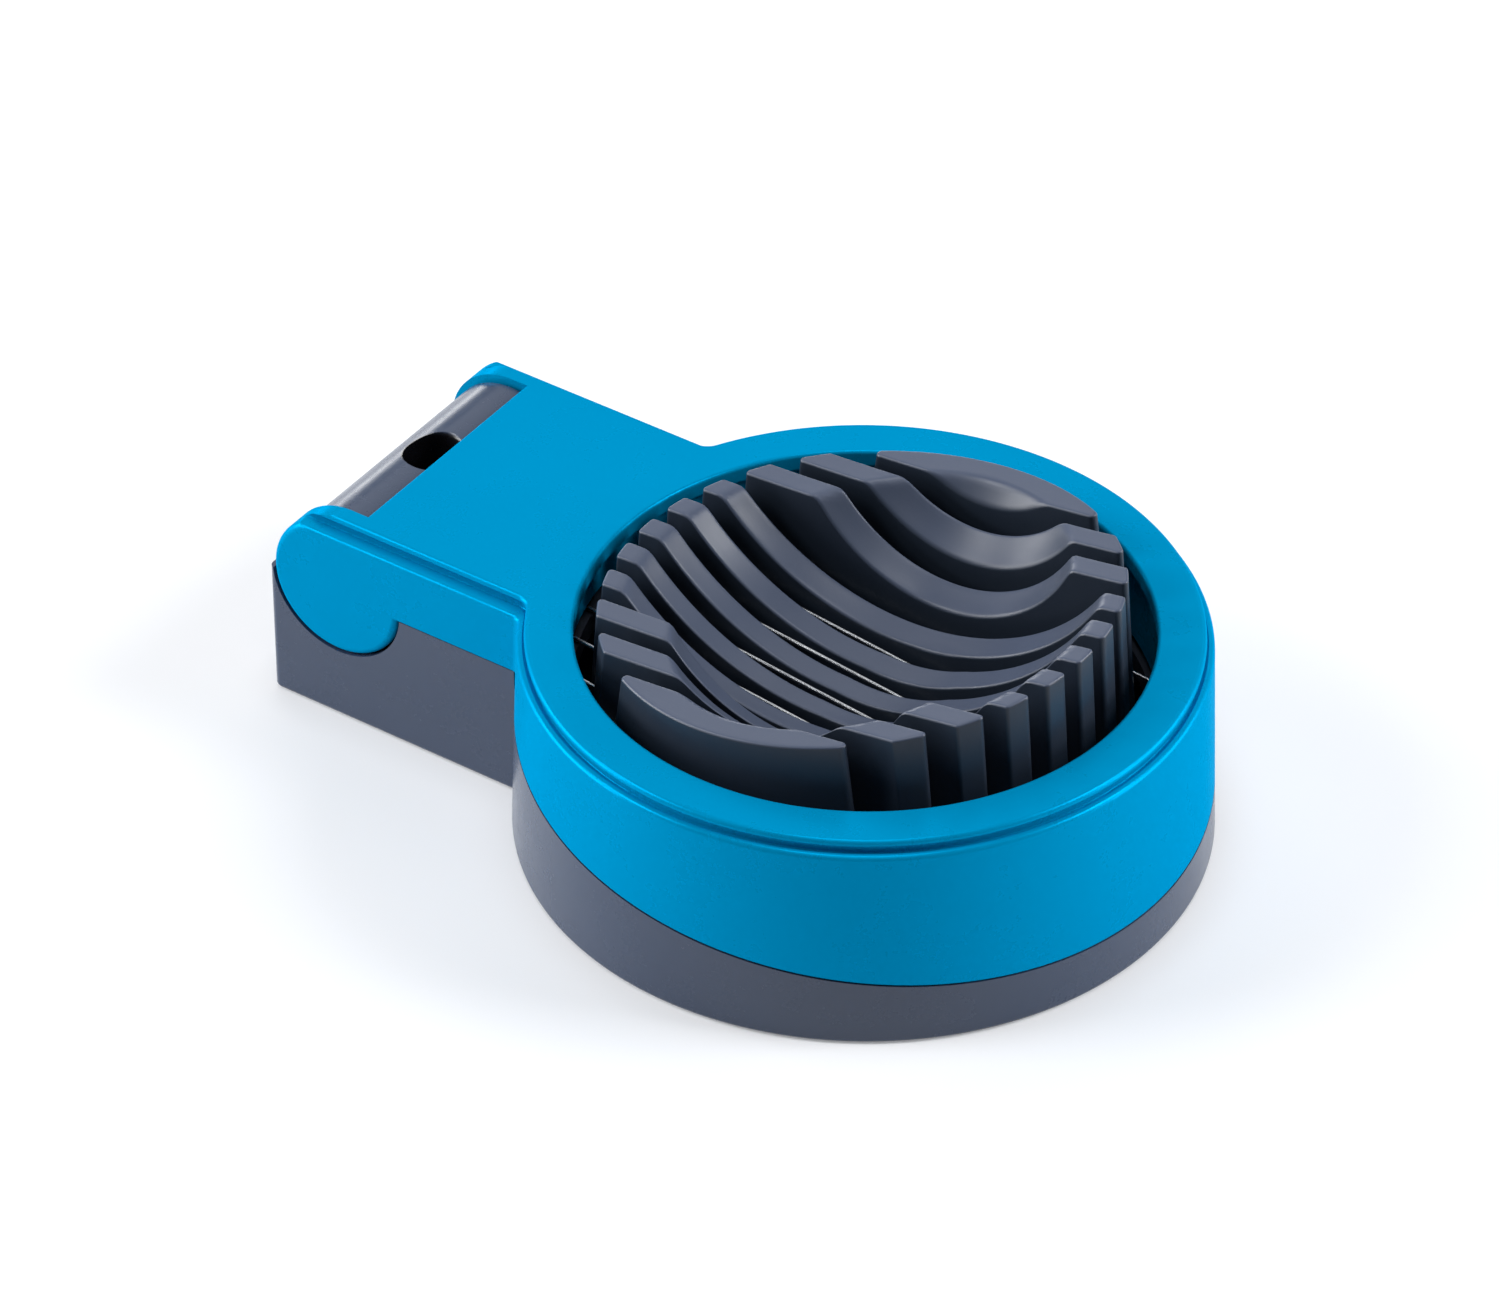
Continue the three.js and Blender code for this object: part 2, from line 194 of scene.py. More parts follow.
def drum_radius(z):
    return RING_R + (LEDGE_Z - min(z, LEDGE_Z)) * DRAFT


def wire_z(x):
    return WIRE_Z - WIRE_FALL * x


def around(radius, degrees):
    """Points (x, y) on a circle round the drum's centre."""
    return [(radius * math.cos(math.radians(d)), radius * math.sin(math.radians(d))) for d in degrees]


lug_places = around(LUG_R, [LUG_TURN, 180 - LUG_TURN, 180 + LUG_TURN, 360 - LUG_TURN])
screw_places = around(TRAY_SCREW_CIRCLE, [0, 120, 240])
wire_places = [(i - (WIRE_COUNT - 1) / 2) * WIRE_PITCH for i in range(WIRE_COUNT)]


# ---- solids, as linked objects in millimetres ----
def solid(points, faces, name="solid"):
    mesh = bpy.data.meshes.new(name)
    mesh.from_pydata([tuple(p) for p in points], [], faces)
    mesh.validate()
    obj = bpy.data.objects.new(name, mesh)
    bpy.context.scene.collection.objects.link(obj)
    return obj


def loops_solid(loops, closing=None):
    """Solid from a stack of closed loops of equal length, the first at the bottom.

    The last loop is closed with one flat face, or with the closing faces, given by vertex number."""
    count = len(loops[0])
    points = [p for loop in loops for p in loop]
    faces = []
    for k in range(len(loops) - 1):
        low, high = k * count, (k + 1) * count
        for i in range(count):
            j = (i + 1) % count
            faces.append((low + i, low + j, high + j, high + i))
    faces.append(tuple(reversed(range(count))))
    last = (len(loops) - 1) * count
    faces.extend(closing or [tuple(last + i for i in range(count))])
    return solid(points, faces)


def lathe(profile, segments=FINE, centre=(0, 0)):
    """Solid of revolution about an upright axis: profile of (radius, z), from the bottom up."""
    turns = [2 * math.pi * i / segments for i in range(segments)]
    loops = [[(centre[0] + r * math.cos(t), centre[1] + r * math.sin(t), z) for t in turns]
             for r, z in profile]
    return loops_solid(loops)


def cylinder(x, y, radius, z0, z1, segments=HOLE_FINE):
    return lathe([(radius, z0), (radius, z1)], segments, (x, y))


def hinge_lathe(profile, segments):
    """Solid of revolution about the hinge axis: profile of (radius, y), y rising."""
    turns = [2 * math.pi * i / segments for i in range(segments)]
    loops = [[(HINGE_X + r * math.sin(t), y, HINGE_Z + r * math.cos(t)) for t in turns]
             for r, y in profile]
    return loops_solid(loops)


def box(x0, x1, y0, y1, z0, z1):
    low = [(x0, y0, z0), (x1, y0, z0), (x1, y1, z0), (x0, y1, z0)]
    return loops_solid([low, [(x, y, z1) for x, y, _ in low]])


def prism_y(outline, y0, y1):
    """Outline of (x, z) points, anticlockwise seen from -Y, extruded along Y."""
    return loops_solid([[(x, y1, z) for x, z in outline], [(x, y0, z) for x, z in outline]])


def under(z, fall):
    """Everything under a plane through z at the drum's centre that falls towards +X."""
    reach = 120
    return prism_y([(-reach, -reach), (reach, -reach), (reach, z - fall * reach),
                    (-reach, z + fall * reach)], -reach, reach)


def apply_modifiers(obj):
    graph = bpy.context.evaluated_depsgraph_get()
    mesh = bpy.data.meshes.new_from_object(obj.evaluated_get(graph))
    old = obj.data
    obj.modifiers.clear()
    obj.data = mesh
    bpy.data.meshes.remove(old)


def remove(obj):
    mesh = obj.data
    bpy.data.objects.remove(obj)
    bpy.data.meshes.remove(mesh)


def combine(operation, body, tools):
    """Works the tools into the body, one after another, and removes them."""
    for tool in tools:
        modifier = body.modifiers.new("combine", "BOOLEAN")
        modifier.operation = operation
        modifier.solver = "MANIFOLD"
        modifier.object = tool
    apply_modifiers(body)
    for tool in tools:
        remove(tool)
    return body


def join(body, *tools):
    return combine("UNION", body, tools)


def cut(body, *tools):
    return combine("DIFFERENCE", body, tools)


def common(body, *tools):
    return combine("INTERSECT", body, tools)


def mirrored(make):
    """The two solids that make(side) gives for the -Y and the +Y side."""
    return [make(-1), make(1)]


def span(side, y0, y1):
    """The stretch y0 to y1 on the +Y side, or its mirror image, lower end first."""
    return (y0, y1) if side > 0 else (-y1, -y0)


def quarter_turns(steps):
    return [math.pi / 2 * i / steps for i in range(steps + 1)]


def quarter(across, height, radius, steps):
    """Quarter round from the wall at distance across up to the flat at height."""
    return [(across - radius + radius * math.cos(t), height - radius + radius * math.sin(t))
            for t in quarter_turns(steps)]


def rounding(radius, steps):
    """Quarter round as (distance in, distance down), from (0, radius) to (radius, 0)."""
    return [(radius - radius * math.cos(t), radius - radius * math.sin(t)) for t in quarter_turns(steps)]


# ---- finished pieces ----
def finish_piece(obj, name, body, material, nodes, sharp=32):
    """Names the solid, brings it to metres, smooths edges under the sharp angle and lets it ride."""
    obj.data.transform(Matrix.Scale(MM, 4))
    obj.name = name
    obj.data.name = name
    obj.data.materials.clear()
    obj.data.materials.append(material)
    obj.data.polygons.foreach_set("use_smooth", [True] * len(obj.data.polygons))
    obj.data.set_sharp_from_angle(angle=math.radians(sharp))
    normals = obj.modifiers.new("normals", "WEIGHTED_NORMAL")
    normals.mode = "FACE_AREA"
    normals.keep_sharp = True
    apply_modifiers(obj)
    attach(obj, body)
    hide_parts(*nodes)


# ---- materials; lengths here are in metres ----
GRAIN_DEPTH = 0.00006
DRAWN_DEPTH = 0.00002
PEBBLE_DEPTH = 0.00008
# width over which the painted shade in a bore fades out
BORE_FADE = 0.0002


def srgb(r, g, b):
    """Colour given as 0 to 255 to linear RGBA."""
    def linear(v):
        v = v / 255
        return v / 12.92 if v <= 0.04045 else ((v + 0.055) / 1.055) ** 2.4
    return (linear(r), linear(g), linear(b), 1.0)


def coordinates(tree):
    return tree.nodes.get("Texture Coordinate") or tree.nodes.new("ShaderNodeTexCoord")


def shader(name):
    material = bpy.data.materials.new(name)
    material.use_nodes = True
    tree = material.node_tree
    return material, tree, tree.nodes["Principled BSDF"], coordinates(tree).outputs["Object"]


def noise(tree, where, scale, detail=4.0, roughness=0.55, stretch=None):
    if stretch:
        mapping = tree.nodes.new("ShaderNodeMapping")
        mapping.inputs["Scale"].default_value = stretch
        tree.links.new(where, mapping.inputs["Vector"])
        where = mapping.outputs["Vector"]
    node = tree.nodes.new("ShaderNodeTexNoise")
    node.inputs["Scale"].default_value = scale
    node.inputs["Detail"].default_value = detail
    node.inputs["Roughness"].default_value = roughness
    tree.links.new(where, node.inputs["Vector"])
    return node.outputs["Fac"]


def spread(tree, value, low, high, from_low=0.3, from_high=0.7):
    """Maps a value to the range low to high, from the range that a noise mostly stays in."""
    node = tree.nodes.new("ShaderNodeMapRange")
    node.inputs["From Min"].default_value = from_low
    node.inputs["From Max"].default_value = from_high
    node.inputs["To Min"].default_value = low
    node.inputs["To Max"].default_value = high
    tree.links.new(value, node.inputs["Value"])
    return node.outputs["Result"]


def mixed(tree, factor, first, second):
    """Mixes two colours. The factor and the colours may each be a socket or a fixed value."""
    node = tree.nodes.new("ShaderNodeMix")
    node.data_type = "RGBA"
    # a colour mix takes its colours in sockets 6 and 7, and gives the result in socket 2
    for value, socket in ((factor, node.inputs[0]), (first, node.inputs[6]), (second, node.inputs[7])):
        if isinstance(value, bpy.types.NodeSocket):
            tree.links.new(value, socket)
        else:
            socket.default_value = value
    return node.outputs[2]


def bump(tree, heights, strength, distance):
    """Bump from one or more (height, share) pairs."""
    total = None
    for height, share in heights:
        scaled = tree.nodes.new("ShaderNodeMath")
        scaled.operation = "MULTIPLY"
        scaled.inputs[1].default_value = share
        tree.links.new(height, scaled.inputs[0])
        if total is None:
            total = scaled.outputs[0]
            continue
        added = tree.nodes.new("ShaderNodeMath")
        added.operation = "ADD"
        tree.links.new(total, added.inputs[0])
        tree.links.new(scaled.outputs[0], added.inputs[1])
        total = added.outputs[0]
    node = tree.nodes.new("ShaderNodeBump")
    node.inputs["Strength"].default_value = strength
    node.inputs["Distance"].default_value = distance
    tree.links.new(total, node.inputs["Height"])
    return node.outputs["Normal"]


def moulded_plastic(name, colour, deep, rough, specular, own_gloss=0.0, tint=(1, 1, 1, 1),
                    grain=1.0, steep_shade=None, bore=None):
    """Satin injection-moulded plastic: fine spark-eroded grain, slow flow marks, faint handling wear.

    own_gloss is the share of the gloss that takes the plastic's own colour, and tint its colour at
    a glancing angle. steep_shade is painted shade: a darker colour on steep faces, such as slot walls.
    bore is a deep upright hole that gets painted shade: its middle, its radius and the shade's colour."""
    material, tree, surface, where = shader(name)
    flow = noise(tree, where, 38, 3.0, 0.5)
    fine = noise(tree, where, 2600, 2.0, 0.6)
    medium = noise(tree, where, 620, 3.0, 0.55)
    scuffs = noise(tree, where, 95, 6.0, 0.72)
    body = mixed(tree, spread(tree, flow, 0.0, 1.0), colour, deep)
    speckled = mixed(tree, spread(tree, medium, 0.0, 0.18, 0.35, 0.75), colour, deep)
    skin = mixed(tree, 0.5, body, speckled)
    # painted shade: steep faces, such as the tray's slot walls, are given a darker colour than faces that
    # look up
    if steep_shade:
        normal = tree.nodes.new("ShaderNodeSeparateXYZ")
        tree.links.new(coordinates(tree).outputs["Normal"], normal.inputs[0])
        facing_up = spread(tree, normal.outputs["Z"], 0.0, 1.0, 0.2, 0.8)
        skin = mixed(tree, facing_up, steep_shade, skin)
    # painted shade: inside the bore's radius the colour turns near black, standing in for the shadow in
    # the hole
    if bore:
        middle, radius, bore_shade = bore
        flat = tree.nodes.new("ShaderNodeMapping")
        flat.inputs["Scale"].default_value = (1, 1, 0)
        flat.inputs["Location"].default_value = (-middle[0], -middle[1], 0)
        tree.links.new(where, flat.inputs["Vector"])
        away = tree.nodes.new("ShaderNodeVectorMath")
        away.operation = "LENGTH"
        tree.links.new(flat.outputs["Vector"], away.inputs[0])
        outside = spread(tree, away.outputs["Value"], 0.0, 1.0, radius, radius + BORE_FADE)
        skin = mixed(tree, outside, bore_shade, skin)
    tree.links.new(skin, surface.inputs["Base Color"])
    tree.links.new(spread(tree, scuffs, rough - 0.05, rough + 0.07), surface.inputs["Roughness"])
    tree.links.new(bump(tree, [(fine, 0.5), (medium, 0.9), (flow, 2.0)], 0.14 * grain, GRAIN_DEPTH),
                   surface.inputs["Normal"])
    surface.inputs["Specular IOR Level"].default_value = specular
    surface.inputs["Metallic"].default_value = own_gloss
    surface.inputs["Specular Tint"].default_value = tint
    surface.inputs["IOR"].default_value = 1.5
    return material


def metal(name, colour, tarnish, rough, stretch, scale):
    """Steel with drawing or turning marks along one direction."""
    material, tree, surface, where = shader(name)
    marks = noise(tree, where, scale, 4.0, 0.6, stretch)
    cloud = noise(tree, where, 160, 4.0, 0.6)
    tree.links.new(mixed(tree, spread(tree, cloud, 0.0, 1.0), colour, tarnish),
                   surface.inputs["Base Color"])
    tree.links.new(spread(tree, marks, rough - 0.06, rough + 0.1), surface.inputs["Roughness"])
    tree.links.new(bump(tree, [(marks, 1.0)], 0.2, DRAWN_DEPTH), surface.inputs["Normal"])
    surface.inputs["Metallic"].default_value = 1.0
    return material


def rubber(name, colour, worn):
    """Soft matt pad: pebbled skin, dust in the hollows."""
    material, tree, surface, where = shader(name)
    pebbles = tree.nodes.new("ShaderNodeTexVoronoi")
    pebbles.inputs["Scale"].default_value = 2200
    tree.links.new(where, pebbles.inputs["Vector"])
    dust = noise(tree, where, 420, 5.0, 0.65)
    tree.links.new(mixed(tree, spread(tree, dust, 0.0, 1.0, 0.4, 0.75), colour, worn),
                   surface.inputs["Base Color"])
    tree.links.new(spread(tree, dust, 0.78, 0.95), surface.inputs["Roughness"])
    tree.links.new(bump(tree, [(pebbles.outputs["Distance"], 1.0), (dust, 0.4)], 0.35, PEBBLE_DEPTH),
                   surface.inputs["Normal"])
    surface.inputs["Specular IOR Level"].default_value = 0.25
    return material


BLUE = moulded_plastic("lid_blue", srgb(0, 136, 186), srgb(0, 131, 180), 0.28, 0.0,
                       own_gloss=0.23, tint=srgb(0, 220, 255), grain=0.6)
# the base's hanging hole gets painted shade, near black inside its radius
SLATE = moulded_plastic("base_slate", srgb(51, 64, 87), srgb(48, 60, 82), 0.25, 0.5, grain=0.6,
                        bore=((HINGE_X * MM, 0), (HANG_HOLE_R + 0.1) * MM, srgb(14, 14, 18)))
# the tray's steep faces get painted shade, a darker slate on the slot walls
TRAY = moulded_plastic("tray_slate", srgb(73, 82, 102), srgb(68, 77, 96), 0.36, 0.35,
                       grain=1.2, steep_shade=srgb(34, 42, 54))
CARRIER = moulded_plastic("carrier_slate", srgb(44, 50, 62), srgb(40, 45, 56), 0.42, 0.3)
WIRE = metal("drawn_wire", srgb(196, 199, 203), srgb(172, 176, 182), 0.24, (0.04, 1.0, 1.0), 5200)
PIN = metal("ground_pin", srgb(205, 207, 210), srgb(182, 184, 188), 0.24, (1.0, 0.08, 1.0), 2400)
SCREW = metal("plated_screw", srgb(196, 198, 202), srgb(160, 162, 168), 0.3, (1.0, 1.0, 0.3), 1500)
PAD = rubber("pad_rubber", srgb(44, 46, 51), srgb(62, 64, 69))


# ---- camera, floor and light ----
VIEW_AZIMUTH = 34.56
VIEW_ELEVATION = 37.94
VIEW_DISTANCE = 1.0
VIEW_RIGHT = -0.01437
VIEW_UP = 0.02144
LENS = 189.16
SENSOR = 36
FLOOR_REACH = 6.0
FLOOR_DROP = 0.0001


def direction(azimuth, elevation):
    """Unit vector from the object towards an azimuth (0 is -Y, 90 is +X) and an elevation."""
    a, e = math.radians(azimuth), math.radians(elevation)
    return Vector((math.sin(a) * math.cos(e), -math.cos(a) * math.cos(e), math.sin(e)))


def make_camera():
    back = direction(VIEW_AZIMUTH, VIEW_ELEVATION)
    right = direction(VIEW_AZIMUTH + 90, 0)
    up = back.cross(right)
    data = bpy.data.cameras.new("camera")
    data.lens = LENS
    data.sensor_width = SENSOR
    data.clip_start = 0.05
    data.clip_end = 50
    camera = bpy.data.objects.new("camera", data)
    camera.matrix_world = Matrix((right, up, back)).transposed().to_4x4()
    camera.location = back * VIEW_DISTANCE + right * VIEW_RIGHT + up * VIEW_UP
    bpy.context.scene.collection.objects.link(camera)
    bpy.context.scene.camera = camera


def make_floor():
    corners = [(-1, -1), (1, -1), (1, 1), (-1, 1)]
    floor = solid([(x * FLOOR_REACH, y * FLOOR_REACH, -FLOOR_DROP) for x, y in corners],
                  [(0, 1, 2, 3)], "floor")
    material, tree, surface, where = shader("studio_floor")
    tone = noise(tree, where, 3.0, 3.0)
    tree.links.new(mixed(tree, tone, (0.62, 0.63, 0.65, 1), (0.64, 0.65, 0.67, 1)),
                   surface.inputs["Base Color"])
    surface.inputs["Roughness"].default_value = 0.7
    surface.inputs["Specular IOR Level"].default_value = 0.2
    surface.inputs["Emission Color"].default_value = (0.97, 0.98, 1.0, 1)
    surface.inputs["Emission Strength"].default_value = 0.25
    floor.data.materials.append(material)


def soft_light(name, azimuth, elevation, distance, width, height, power):
    """White rectangular softbox that faces the object."""
    data = bpy.data.lights.new(name, "AREA")
    data.shape = "RECTANGLE"
    data.size = width
    data.size_y = height
    data.energy = power
    light = bpy.data.objects.new(name, data)
    towards = direction(azimuth, elevation)
    light.location = towards * distance
    light.rotation_mode = "QUATERNION"
    light.rotation_quaternion = towards.to_track_quat("Z", "Y")
    bpy.context.scene.collection.objects.link(light)


def make_lights():
    world = bpy.data.worlds.new("dark_studio")
    world.use_nodes = True
    world.node_tree.nodes["Background"].inputs["Strength"].default_value = 0.0
    bpy.context.scene.world = world
    left, right, back = VIEW_AZIMUTH - 90, VIEW_AZIMUTH + 90, VIEW_AZIMUTH + 180
    # name, azimuth, elevation, distance, width and height in metres, power in watts
    soft_light("overhead", 0, 88, 1.2, 0.45, 0.45, 4.2)
    soft_light("left_low", left - 10, 12, 0.9, 0.7, 0.4, 8.5)
    soft_light("left_high", left + 5, 42, 0.9, 0.3, 0.3, 2.9)
    soft_light("right_low", right + 5, 12, 0.9, 0.7, 0.4, 6.7)
    soft_light("right_high", right - 5, 42, 0.9, 0.3, 0.3, 3.9)
    soft_light("back_low", back + 14, 4, 1.2, 0.75, 0.18, 2.3)
    soft_light("back_high", back, 45, 1.2, 1.3, 0.9, 4.0)
    soft_light("front_high", VIEW_AZIMUTH, 62, 1.1, 0.4, 0.3, 0.8)


bpy.context.scene.view_settings.view_transform = "Standard"
make_camera()
make_floor()
make_lights()


# ---- outline shared by the lid and the base ----
CORNER_STEPS = 8
SIDE_STEPS = 20
FILLET_STEPS = 10


def plan(radius, half, fillet, back, corner=0.0):
    """Outline of the drum and the neck in one, anticlockwise, with filleted inner corners."""
    reach = half + fillet
    fillet_x = -math.sqrt((radius + fillet) ** 2 - reach ** 2)
    tangent = math.atan2(reach, -fillet_x)
    near = [(back, -half)]
    if corner:
        near = [(back + corner - corner * math.cos(t), -half + corner - corner * math.sin(t))
                for t in quarter_turns(CORNER_STEPS)]
    start = near[-1][0]
    near += [(start + (fillet_x - start) * i / SIDE_STEPS, -half) for i in range(1, SIDE_STEPS)]
    turns = [math.pi / 2 + (tangent - math.pi / 2) * i / FILLET_STEPS for i in range(FILLET_STEPS + 1)]
    near += [(fillet_x + fillet * math.cos(t), -reach + fillet * math.sin(t)) for t in turns]
    first = -math.pi + tangent
    drum = [first + (-2 * first) * i / FINE for i in range(1, FINE)]
    middle = [(radius * math.cos(t), radius * math.sin(t)) for t in drum]
    far = [(x, -y) for x, y in reversed(near)]
    return near + middle + far


# ---- lid ----
def lid_block():
    """Lid as a full-height block: rounded edge, undercut groove and raised panel."""
    levels = [(-PAST, 0.0, 0.0), (LEDGE_Z - EDGE_ROUND, 0.0, 0.0)]
    levels += [(z, -d, -d) for d, z in quarter(0, LEDGE_Z, EDGE_ROUND, 8)[1:]]
    groove_z, wall_z, shoulder_z = LEDGE_Z - GROOVE_DEPTH, LEDGE_Z + 0.45, LEDGE_Z + 0.7
    panel = [(-GROOVE_LIP, LEDGE_Z), (-GROOVE_LIP / 2, groove_z), (UNDERCUT * 0.7, groove_z),
             (UNDERCUT, LEDGE_Z - GROOVE_DEPTH / 2), (UNDERCUT, wall_z), (UNDERCUT / 2, shoulder_z)]
    panel += [(-d, z) for d, z in quarter(0, TOP_Z, PANEL_ROUND, 6)]
    levels += [(z, STEP_IN + d, NECK_STEP_IN + d) for d, z in panel]
    back = HINGE_X - 12
    loops = []
    for z, drum_in, neck_in in levels:
        outline = plan(drum_radius(z) - drum_in, NECK_HALF - neck_in, CORNER_FILLET + drum_in, back)
        loops.append([(x, y, z) for x, y in outline])
    return loops_solid(loops)


def rounded_disc(radius, half, edge, steps=6):
    """Disc about the hinge axis with rounded rims."""
    rim = quarter(radius, half, edge, steps)
    return hinge_lathe([(r, -y) for r, y in reversed(rim)] + rim, HINGE_FINE)


def drum_solid(slack):
    """The drum up to the ledge, widened by a slack, from well under the lid."""
    bottom = -10
    return lathe([(drum_radius(bottom) + slack, bottom), (drum_radius(LEDGE_Z) + slack, LEDGE_Z)])


def below_neck():
    """What is cut away under the lid's neck and round its ears, outside the drum."""
    back, side = HINGE_X - 15, 30
    low = box(back, NECK_FRONT_X, -side, side, BELOW_Z, NECK_SEAM_Z)
    high = box(back, HINGE_X, -side, side, NECK_SEAM_Z - PAST, TOP_Z + 2 * PAST)
    return cut(join(low, high), drum_solid(0.01), rounded_disc(EAR_R, NECK_HALF, EAR_ROUND))


def below_seam():
    """What is cut away under the lid's drum."""
    return common(drum_solid(0.02), under(SEAM_Z, SEAM_FALL))


def opening_tool():
    """Round opening with a rounded upper edge, and a collar set back under its lip."""
    lip_z, under_lip, bevel = TOP_Z - LIP, OPENING_R + LIP_OVERHANG, 0.2
    below = [(under_lip, BELOW_Z), (under_lip, lip_z - bevel), (under_lip - bevel, lip_z),
             (OPENING_R, lip_z)]
    flare = [(OPENING_R + OPENING_ROUND - r, z)
             for r, z in quarter(OPENING_ROUND, TOP_Z, OPENING_ROUND, 6)]
    return lathe(below + flare + [(OPENING_R + OPENING_ROUND, TOP_Z + 2 * PAST)])


def plate_end_tool():
    """What is cut away behind the lid's top plate, between the ears, past a rounded upper edge."""
    edge, low, high = 0.5, -2 * PAST, TOP_Z + 4 * PAST
    flare = [(LID_END_X + edge - d, z) for d, z in quarter(edge, TOP_Z, edge, 5)]
    outline = [(BEHIND_X, low), (LID_END_X, low)] + flare + [(LID_END_X + edge, high), (BEHIND_X, high)]
    return prism_y(outline, -EAR_INNER, EAR_INNER)


def make_lid():
    block = cut(lid_block(), below_neck(), below_seam())
    bay = HINGE_X + EAR_R + KNUCKLE_ROOM
    low = -2 * PAST
    panel_wall, ceiling_step = RING_R - STEP_IN - WALL, 0.4
    drum_hollow = lathe([
        (drum_radius(0) - WALL, low), (RING_R - WALL, RIM_CEILING_Z),
        (panel_wall, RIM_CEILING_Z + ceiling_step), (panel_wall, CEILING_Z)])
    inner = NECK_HALF - WALL
    shell = cut(
        block, drum_hollow,
        box(bay, NECK_FRONT_X, -inner, inner, low, CEILING_Z),
        box(BEHIND_X, bay + PAST, -EAR_INNER, EAR_INNER, low, CEILING_Z),
        rounded_disc(KNUCKLE_R + KNUCKLE_ROOM, EAR_INNER, 0.05, 1),
        plate_end_tool())
    sunk = 0.5
    collar = lathe([(COLLAR_OUT, COLLAR_LOW_Z), (COLLAR_OUT, CEILING_Z + sunk)])
    bosses = [cylinder(x, y, LUG_SIZE, COLLAR_LOW_Z, CEILING_Z + sunk) for x, y in lug_places]
    hanging = cut(join(collar, *bosses), under(WIRE_Z + WIRE_SPACE + GAP, WIRE_FALL))
    pilots = [cylinder(x, y, RING_SCREW_R + GAP, 0, CEILING_Z - LUG_PILOT_END) for x, y in lug_places]
    pin_holes = mirrored(lambda side: hinge_lathe(
        [(PIN_R + GAP, y) for y in span(side, EAR_INNER - PAST, PIN_END + GAP)], HOLE_FINE))
    body = cut(join(shell, hanging), opening_tool(), *pilots, *pin_holes)
    finish_piece(body, "lid_shell", "lid", BLUE, ["lid_frame"])


# ---- base ----
def base_block():
    """Base as a solid block up to the neck's upper edge."""
    levels = rounding(FOOT_ROUND, 6) + [(NECK_SEAM_Z - GAP, 0.0)]
    loops = []
    for z, inset in levels:
        outline = plan(drum_radius(z) - inset, BASE_NECK_HALF - inset, BASE_FILLET + inset,
                       BACK_X + inset, BASE_CORNER - inset)
        loops.append([(x, y, z) for x, y in outline])
    return loops_solid(loops)


def above_base_seam():
    """What is cut away over the base's drum, and the room for the lid's skirt in its neck."""
    reach, side, low, high = drum_radius(16) + GAP, 60, -10, 60
    drum = lathe([(reach, low), (reach, high)])
    outside = box(NECK_FRONT_X, side, -side, side, low, high)
    return cut(join(drum, outside), under(SEAM_Z - GAP, SEAM_FALL))


def hanging_hole():
    """Upright hole through the knuckle: bevelled at the foot, softly flared at the top."""
    foot = [(HANG_HOLE_R + HANG_HOLE_BEVEL, -2 * PAST), (HANG_HOLE_R + HANG_HOLE_BEVEL, 0),
            (HANG_HOLE_R, HANG_HOLE_BEVEL)]
    flare = [(0.0, -0.7), (0.06, -0.4), (0.2, -0.14), (0.6, 0.2), (2.0, 1.0)]
    top = HINGE_Z + KNUCKLE_R
    return lathe(foot + [(HANG_HOLE_R + wider, top + up) for wider, up in flare], 96, (HINGE_X, 0))


def make_base():
    knuckle_half = EAR_INNER - GAP
    front = HINGE_X + EAR_R
    inner = BASE_NECK_HALF - WALL
    outside = 30
    seats = mirrored(lambda side: hinge_lathe(
        [(EAR_R + GAP, y) for y in span(side, knuckle_half, outside)], HINGE_FINE))
    block = cut(
        base_block(), above_base_seam(), *seats,
        lathe([(drum_radius(0) - WALL, FLOOR), (drum_radius(20) - WALL, ABOVE_Z)]),
        box(front, NECK_FRONT_X, -inner, inner, FLOOR, ABOVE_Z))
    knuckle = rounded_disc(KNUCKLE_R, knuckle_half, KNUCKLE_ROUND, 4)
    pockets = mirrored(lambda side: box(
        POCKET_BACK_X, front + PAST, *span(side, POCKET_IN, POCKET_OUT), FLOOR, POCKET_TOP_Z))
    pin_holes = mirrored(lambda side: hinge_lathe(
        [(PIN_R + GAP, y) for y in span(side, PIN_START - GAP, PIN_END)], HOLE_FINE))
    pad_wells = [cylinder(x, y, PAD_R + GAP, -PAST, PAD_DEPTH + GAP) for x, y in PAD_PLACES]
    heads = [cylinder(x, y, TRAY_SCREW_HEAD_R + GAP, -PAST, TRAY_SCREW_Z + GAP) for x, y in screw_places]
    shanks = [cylinder(x, y, TRAY_SCREW_R + GAP, -PAST, FLOOR + PAST) for x, y in screw_places]
    body = cut(join(block, knuckle), *pockets, hanging_hole(), *pin_holes, *pad_wells, *heads, *shanks)
    finish_piece(body, "base_body", "base", SLATE, ["base_shell"])


# ---- egg tray ----
RIB_SIDE_POINTS = 96
RIB_CORNER_POINTS = 6
RIB_ARC_STEP = 0.8
RIB_WALL_ROWS = 8
RIB_EDGE_STEPS = 6
BED_ROW = 0.4
RIB_EDGE = 0.42
RIB_CORNER = 0.6
RIB_CREST = 0.02
END_RIB_CORNER = 0.7
END_RIB_CREST = 0.15


def tray_radius(z):
    return TRAY_R + (TRAY_REF_Z - z) * TRAY_DRAFT


def rim_z(x):
    return RIM_Z + RIM_RISE * x + RIM_CURVE * x * x


def smooth_min(a, b, blend):
    """The lower of two heights, with a rounded change from one to the other."""
    share = max(blend - abs(a - b), 0.0) / blend
    return min(a, b) - share * share * blend / 4


